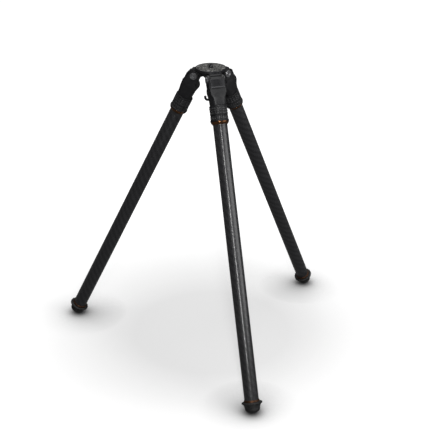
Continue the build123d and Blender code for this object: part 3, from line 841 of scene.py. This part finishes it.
def soften(name, node, edge):
    shape = bmesh.new()
    shape.from_mesh(frame["nodes"][node].data)
    bmesh.ops.remove_doubles(shape, verts=shape.verts, dist=MERGE_DISTANCE)
    bmesh.ops.dissolve_limit(
        shape, angle_limit=FLAT_ANGLE, verts=shape.verts, edges=shape.edges, use_dissolve_boundaries=False)
    piece = keep(name, shape)
    bevel = piece.modifiers.new("ease", "BEVEL")
    bevel.width, bevel.segments = edge, BEVEL_SEGMENTS
    bevel.limit_method, bevel.angle_limit = "ANGLE", BEVEL_ANGLE
    bevel.miter_outer = "MITER_ARC"
    data = bpy.data.meshes.new_from_object(piece.evaluated_get(bpy.context.evaluated_depsgraph_get()))
    piece.modifiers.clear()
    piece.data = data
    data.shade_smooth()
    data.set_sharp_from_angle(angle=CREASE_ANGLE)
    return piece


settle(soften("hub_casting", "hub", 0.7 * MM), "hub", CAST, "cast_black", "hub")
casting_faces = 0
for side in SIDES:
    yoke, tab = f"yoke_{side}", f"stop_tab_{side}"
    casting = soften(f"yoke_casting_{side}", yoke, 0.8 * MM)
    casting_faces += len(casting.data.polygons)
    settle(casting, f"leg_{side}", CAST, "cast_black", yoke)
    settle(soften(f"stop_tab_plate_{side}", tab, 0.45 * MM), tab, TAB_METAL, "machined_black", tab)
print("castings have", casting_faces, "faces")

# %% [markdown]
# ## Pivot caps
# Bolt and nut end in flat caps with a hexagonal socket.  They are turned with a shallow ring groove, the
# socket being an outline whose inner points have six sides.

# %% Pivot caps
CAP_THICKNESS, CAP_BEVEL = 3.0 * MM, (0.8 * MM, 0.9 * MM)
GROOVE_INNER, GROOVE_OUTER, GROOVE_SLOPE, GROOVE_DEPTH = 5.0 * MM, 6.1 * MM, 0.3 * MM, 0.35 * MM
DISH_RADIUS, DISH_DEPTH = 3.5 * MM, 0.5 * MM
KEY_RADIUS, KEY_DEPTH, KEY_SIDES = 2.5 * MM, 2.0 * MM, 6


def pivot_cap(name, node, place, body):
    size = Reach(node, place)
    face, edge = size.end, size.outer
    _, shank = size.span(size.start)
    seat, groove = face - CAP_THICKNESS, face - GROOVE_DEPTH
    dish, key_end = face - DISH_DEPTH, face - KEY_DEPTH
    drop, inset = CAP_BEVEL
    turned = [
        (size.start, 0.0), (size.start, shank), (seat, shank), (seat, edge), (face - drop, edge),
        (face, edge - inset), (face, GROOVE_OUTER), (groove, GROOVE_OUTER - GROOVE_SLOPE),
        (groove, GROOVE_INNER + GROOVE_SLOPE), (face, GROOVE_INNER), (face, DISH_RADIUS),
        (dish, DISH_RADIUS - DISH_DEPTH)]
    outline = [*turned, (dish, KEY_RADIUS), (key_end, KEY_RADIUS), (key_end, 0.0)]
    hexagon = {len(turned): KEY_SIDES, len(turned) + 1: KEY_SIDES}
    settle(lathe(name, outline, place, sides=hexagon), body, GREY_METAL, "bolt_grey", node)


for side in SIDES:
    pivot_cap(f"pivot_bolt_cap_{side}", f"pivot_bolt_{side}", bolt_frame(side, 1), f"leg_{side}")
    pivot_cap(f"pivot_nut_cap_{side}", f"pivot_nut_{side}", bolt_frame(side, -1), f"leg_{side}")

# %% [markdown]
# ## Platform, pad and stud
# The platform is a turned disc with a bevelled rim; the pad is a ring of cork rubber let into it.  The stud
# has two threads, wide below and narrow above.  A thread is a ridge that climbs a helix, so Geometry Nodes
# sweeps a four-cornered profile along a spiral.

# %% Platform and pad
platform_size = Reach("platform")
pad_size = Reach("grip_pad")
stud_size = Reach("camera_stud")
DISC_STEPS = 160
# Corners of the rim with its groove: millimetres up from the underside and in from the edge.
RIM_CORNERS = ((0.0, 0.3), (0.3, 0.0), (1.4, 0.0), (1.7, 0.35), (2.3, 0.35), (2.6, 0.0))
RIM_BEVEL, FLANGE_SEAT = 1.4 * MM, 1.8 * MM
PAD_GAP, PAD_RINGS, PAD_GROOVE = 0.1 * MM, 5, 0.5 * MM


def platform_disc():
    low, top, radius = platform_size.start, platform_size.end, platform_size.outer
    pocket, floor, flange, hole = (
        pad_size.outer + PAD_GAP, pad_size.start, stud_size.outer, platform_size.inner)
    rim = [(low + up * MM, radius - inset * MM) for up, inset in RIM_CORNERS]
    outline = [
        (low, hole), *rim, (top - RIM_BEVEL, radius), (top, radius - RIM_BEVEL), (top, pocket),
        (floor, pocket), (floor, flange), (floor - FLANGE_SEAT, flange), (floor - FLANGE_SEAT, hole)]
    return lathe("platform_disc", eased(outline, 0.25 * MM, 2), Matrix(), DISC_STEPS)


def cork_ring():
    low, top, outer, inner = pad_size.start, pad_size.end, pad_size.outer, pad_size.inner
    outline = [(low, inner), (low, outer), (top - 0.3 * MM, outer), (top, outer - PAD_GROOVE)]
    for k in range(1, PAD_RINGS):
        middle = outer + (inner - outer) * k / PAD_RINGS
        outline += [(top, middle + PAD_GROOVE), (top - 0.22 * MM, middle), (top, middle - PAD_GROOVE)]
    outline += [(top, inner + PAD_GROOVE), (top - 0.3 * MM, inner)]
    return lathe("cork_pad_ring", eased(outline, 0.2 * MM, 2), Matrix(), DISC_STEPS)


settle(platform_disc(), "hub", BLACK_METAL, "machined_black", "platform")
settle(cork_ring(), "hub", PAD, "grip_grey", "grip_pad")
print("platform", round(2 * platform_size.outer / MM, 2), "mm across")

# %% The thread tree


def thread_ridge():
    tree, bench, given = start_tree(
        "thread_ridge",
        ("Radius", "NodeSocketFloat", 0.005), ("Pitch", "NodeSocketFloat", 0.0015),
        ("Turns", "NodeSocketFloat", 4.0), ("Depth", "NodeSocketFloat", 0.0007),
        ("Start", "NodeSocketFloat", 0.0), ("Finish", "NodeSocketMaterial"))
    radius = given.other("Radius") - given.other("Depth")
    spiral = bench.node("GeometryNodeCurveSpiral", {}, {
        "Resolution": 40, "Rotations": given.other("Turns"), "Start Radius": radius, "End Radius": radius,
        "Height": given.other("Turns") * given.other("Pitch")})
    upright = bench.node("GeometryNodeSetCurveNormal", {"mode": "Z_UP"}, {"Curve": spiral})
    profile = bench.node("GeometryNodeCurvePrimitiveCircle", {}, {
        "Resolution": 4, "Radius": given.other("Depth")})
    ridge = bench.node("GeometryNodeCurveToMesh", {}, {
        "Curve": upright, "Profile Curve": profile, "Fill Caps": True})
    raised = bench.node("GeometryNodeTransform", {}, {
        "Geometry": ridge, "Translation": bench.vector(0.0, 0.0, given.other("Start"))})
    end_tree(bench, raised, given)
    return tree


THREAD = thread_ridge()

# %% Camera stud
WIDE_RADIUS, NARROW_RADIUS = 4.7625 * MM, 3.175 * MM
WIDE_PITCH, NARROW_PITCH = 25.4 / 16 * MM, 25.4 / 20 * MM
FLANGE_UNDERSIDE, FLANGE_TOP = -3.0 * MM, -0.2 * MM
SHOULDER_BEVEL, TIP_BEVEL, THREAD_GAP = 0.4 * MM, 0.8 * MM, 0.6 * MM


def camera_stud():
    bottom, top, flange = stud_size.start, stud_size.end, stud_size.outer
    shank = stud_size.span(bottom)[1]
    shoulder = max(z for z, radius in stud_size.points if radius > 1.1 * NARROW_RADIUS)
    wide_core, narrow_core = WIDE_RADIUS - WIDE_PITCH * 0.5, NARROW_RADIUS - NARROW_PITCH * 0.5
    outline = [
        (bottom, 0.0), (bottom, shank), (FLANGE_UNDERSIDE, shank), (FLANGE_UNDERSIDE, flange),
        (FLANGE_TOP, flange), (FLANGE_TOP, wide_core), (shoulder - SHOULDER_BEVEL, wide_core),
        (shoulder, wide_core - SHOULDER_BEVEL), (shoulder, narrow_core), (top - TIP_BEVEL, narrow_core),
        (top, narrow_core - TIP_BEVEL), (top, 0.0)]
    core = lathe("camera_stud_core", eased(outline, 0.2 * MM, 2), Matrix(), steps=64)
    settle(core, "hub", STEEL, "dark_steel", "camera_stud")
    threads = (
        ("camera_stud_wide_thread", WIDE_RADIUS, WIDE_PITCH, THREAD_GAP, shoulder - 0.7 * MM),
        ("camera_stud_narrow_thread", NARROW_RADIUS, NARROW_PITCH, shoulder + THREAD_GAP, top - 1.0 * MM))
    for name, radius, pitch, start, end in threads:
        ridge = grow(name, THREAD, Matrix(), STEEL, Radius=radius, Pitch=pitch, Turns=(end - start) / pitch,
                     Depth=pitch / 2, Start=start)
        ridge.data.shade_flat()
        settle(ridge, "hub", SCREW_METAL, "dark_steel")


camera_stud()

# %% [markdown]
# ## Weight hook
# The hook is a wire bent like a letter J, with a flat head above and a ball on its tip.  Its centreline is
# a straight drop, a half circle and a short rise, and a Geometry Nodes tree sweeps a round section along
# it.

# %% The wire tree


def wire_along_a_path():
    tree, bench, given = start_tree(
        "wire_along_a_path", ("Wire Radius", "NodeSocketFloat", 0.002), ("Finish", "NodeSocketMaterial"),
        ("Path", "NodeSocketObject"))
    path = bench.node("GeometryNodeObjectInfo", {}, {"Object": given.other("Path")})
    curve = bench.node("GeometryNodeMeshToCurve", {}, {"Mesh": path.other("Geometry")})
    profile = bench.node("GeometryNodeCurvePrimitiveCircle", {}, {
        "Resolution": 24, "Radius": given.other("Wire Radius")})
    swept = bench.node("GeometryNodeCurveToMesh", {}, {
        "Curve": curve, "Profile Curve": profile, "Fill Caps": True})
    end_tree(bench, swept, given)
    return tree


WIRE = wire_along_a_path()

# %% Hook, its head and its ball
HEAD_THICKNESS, TIP_RISE, BALL_EXTRA = 1.8 * MM, 1.0 * MM, 0.3 * MM
BEND_STEPS, BALL_STEPS = 28, 16


def weight_hook():
    low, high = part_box("weight_hook")
    head_underside = high.z - HEAD_THICKNESS
    wire, head = Reach("weight_hook").span(head_underside)
    ball = wire + BALL_EXTRA
    bend_x = (low.x + ball) / 2
    bend_z = low.z - bend_x + wire
    tip_z = bend_z + TIP_RISE
    line = [(0.0, head_underside), (0.0, (high.z + bend_z) / 2)]
    for k in range(BEND_STEPS + 1):
        angle = math.pi * k / BEND_STEPS
        line.append((bend_x - bend_x * math.cos(angle), bend_z + bend_x * math.sin(angle)))
    line.append((2 * bend_x, tip_z))
    path = bpy.data.meshes.new("hook_path")
    path.from_pydata([(x, 0.0, z) for x, z in line], [(i, i + 1) for i in range(len(line) - 1)], [])
    holder = bpy.data.objects.new("hook_path", path)
    bpy.context.scene.collection.objects.link(holder)
    hook = grow("hook_wire", WIRE, Matrix(), HOOK_COAT, Wire_Radius=wire, Path=holder)
    bpy.data.objects.remove(holder)
    settle(hook, "hook", HOOK_COAT, "hook_black", "weight_hook")
    angles = [math.pi * k / BALL_STEPS for k in range(BALL_STEPS + 1)]
    half_circle = [(-ball * math.cos(angle), ball * math.sin(angle)) for angle in angles]
    half_circle[0], half_circle[-1] = (-ball, 0.0), (ball, 0.0)
    tip = lathe("hook_ball", half_circle, Matrix.Translation((2 * bend_x, 0.0, tip_z)), steps=32)
    settle(tip, "hook", HOOK_COAT, "hook_black")
    disc = [(head_underside, 0.0), (head_underside, head), (high.z, head), (high.z, 0.0)]
    head_disc = lathe("hook_head", eased(disc, 0.3 * MM), Matrix(), steps=40)
    settle(head_disc, "hook", HOOK_COAT, "hook_black")


weight_hook()

# %% Knurled socket above the hook
KNURL_COUNT, KNURL_SIZE = 36, (1.0 * MM, 0.9 * MM, 4.2 * MM)
SOCKET_BEVEL, SOCKET_ROOM, KNURL_MIDDLE = 1.0 * MM, 2.0 * MM, 4.0 * MM


def hook_socket():
    size = Reach("hook_socket")
    outer = size.outer - 0.5 * MM
    room, _ = size.span(size.end)
    outline = [
        (size.start, size.inner), (size.start, outer - SOCKET_BEVEL), (size.start + SOCKET_BEVEL, outer),
        (size.end, outer), (size.end, room), (size.end - SOCKET_ROOM, room),
        (size.end - SOCKET_ROOM, size.inner)]
    settle(lathe("hook_socket_body", eased(outline, 0.25 * MM, 2), Matrix()), "hub", BLACK_METAL,
           "machined_black", "hook_socket")
    knurl = grow(
        "hook_socket_knurl", BLOCKS, Matrix(), BLACK_METAL, Columns=KNURL_COUNT, Rows=1, Radius=outer,
        First_Row=size.start + KNURL_MIDDLE, Row_Pitch=0.0, Block=KNURL_SIZE, Squareness=0.4)
    settle(knurl, "hub", TAB_METAL, "machined_black")


hook_socket()

# %% [markdown]
# ## Parts that keep their CAD mesh
# Ferrules, collets, bushes and the screws under the platform are seen only when a lock is undone or from
# below.  Their CAD shape is right, so they only get a finish.

# %% Finish the carried-over parts
carried = {"ferrule": TAB_METAL, "collet": COLLET}
finishes = {f"{stage}_{part}_{side}": finish
            for part, finish in carried.items() for stage in ("upper", "lower") for side in SIDES}
finishes.update(pivot_bushes=BUSH_METAL, platform_screws=SCREW_METAL)
for node, finish in finishes.items():
    slots = frame["nodes"][node].data.materials
    slots.clear()
    slots.append(finish)
left_plain = [n for n, o in frame["nodes"].items() if not o.hide_render and n not in finishes]
print("carried over:", len(finishes), "left plain:", left_plain)

# %% [markdown]
# ## Floor, light and camera
# A pale floor runs away behind the stand.  Its glow is painted light: it glows more with distance, so it
# ends up white, and less near the middle, which paints a soft grey shade under the stand.  Ambient occlusion
# paints shade into its colour and glow close to the feet, wherever a pose puts them.  A tall, narrow box in
# front draws a thin line of light on the tubes, a broad one from the right fills the other flank, and one
# above lights the platform.  The surroundings are dim, so that black parts stay black.

# %% Floor and surroundings
FLOOR_SIZE = 60.0
# Reach and sharpness of the painted contact shade; where the floor's painted glow starts and ends, its share
# near the middle, and its strength.
CONTACT_REACH, CONTACT_POWER = 0.11, 2.2
GLOW_NEAR, GLOW_FAR, GLOW_SHARE, GLOW_STRENGTH = 0.2, 0.8, 0.36, 0.92
SURROUNDINGS = 0.1


def pale_floor():
    floor = Finish("pale_floor", specular=0.1, roughness=0.8)
    east, north, _ = floor.object_place().axes()
    away = (east * east + north * north).power(0.5)
    openness = floor.node(
        "ShaderNodeAmbientOcclusion", {"samples": 12}, {"Distance": CONTACT_REACH}, output=1)
    painted_contact_shade = openness.power(CONTACT_POWER)
    paint = floor.blend(floor.noise(0.4, 2.0), (0.55, 0.55, 0.55), (0.59, 0.59, 0.59))
    # Painted shade: ambient occlusion darkens the floor's colour to near black close to the feet.
    floor.feed("Base Color", floor.blend(painted_contact_shade, (0.02, 0.02, 0.02), paint))
    # Painted light and shade: the floor's emission rises to white far away and drops near the middle and by
    # the feet, a painted grey shade under the stand.
    painted_glow_and_shade = painted_contact_shade * floor.between(away, GLOW_NEAR, GLOW_FAR, GLOW_SHARE, 1.0)
    floor.feed("Emission Color", floor.blend(painted_glow_and_shade, (0.0, 0.0, 0.0), (1.0, 1.0, 1.0)))
    floor.shader.inputs["Emission Strength"].default_value = GLOW_STRENGTH
    sheet = bmesh.new()
    bmesh.ops.create_grid(sheet, x_segments=1, y_segments=1, size=FLOOR_SIZE)
    piece = keep("floor", sheet, Matrix.Translation((0.0, 0.0, cad_low.z)))
    piece.data.materials.append(floor.material)
    piece.visible_glossy = piece.visible_diffuse = False
    return piece


pale_floor()
world = bpy.data.worlds.new("studio")
bpy.context.scene.world = world
world.use_nodes = True
background = next(n for n in world.node_tree.nodes if n.type == "BACKGROUND")
background.inputs["Color"].default_value = (1.0, 1.0, 1.0, 1.0)
background.inputs["Strength"].default_value = SURROUNDINGS

# %% Lights and camera
LOOK_AT = Vector((0.0, -0.0849, -0.3551))
CAMERA_PLACE, CAMERA_ROLL = (-0.58336, -2.21211, 0.69110), math.radians(0.2)
CAMERA_LENS, CAMERA_SENSOR = 83.1, 36.0
# Each box of light: its name, its place, its width and height, and its power in watts.
SOFTBOXES = (
    ("key_box", (-0.6, -2.6, 0.8), (0.2, 2.2), 40),
    ("fill_box", (2.2, -1.9, 0.8), (2.4, 2.4), 42),
    ("top_box", (0.2, 0.4, 2.8), (2.6, 2.6), 60))


def aimed(name, data, place, roll=0.0):
    """Put a light or a camera in its place, looking at the middle of the stand."""
    holder = bpy.data.objects.new(name, data)
    bpy.context.scene.collection.objects.link(holder)
    holder.location = place
    holder.rotation_mode = "QUATERNION"
    turn = (LOOK_AT - holder.location).to_track_quat("-Z", "Y")
    holder.rotation_quaternion = turn @ Quaternion((0.0, 0.0, 1.0), roll)
    return holder


for name, place, (width, height), power in SOFTBOXES:
    light = bpy.data.lights.new(name, "AREA")
    light.shape, light.size, light.size_y, light.energy = "RECTANGLE", width, height, power
    aimed(name, light, place)

camera = aimed("camera", bpy.data.cameras.new("camera"), CAMERA_PLACE, CAMERA_ROLL)
camera.data.lens, camera.data.sensor_width = CAMERA_LENS, CAMERA_SENSOR
bpy.context.scene.camera = camera
bpy.context.scene.view_settings.view_transform = "Standard"
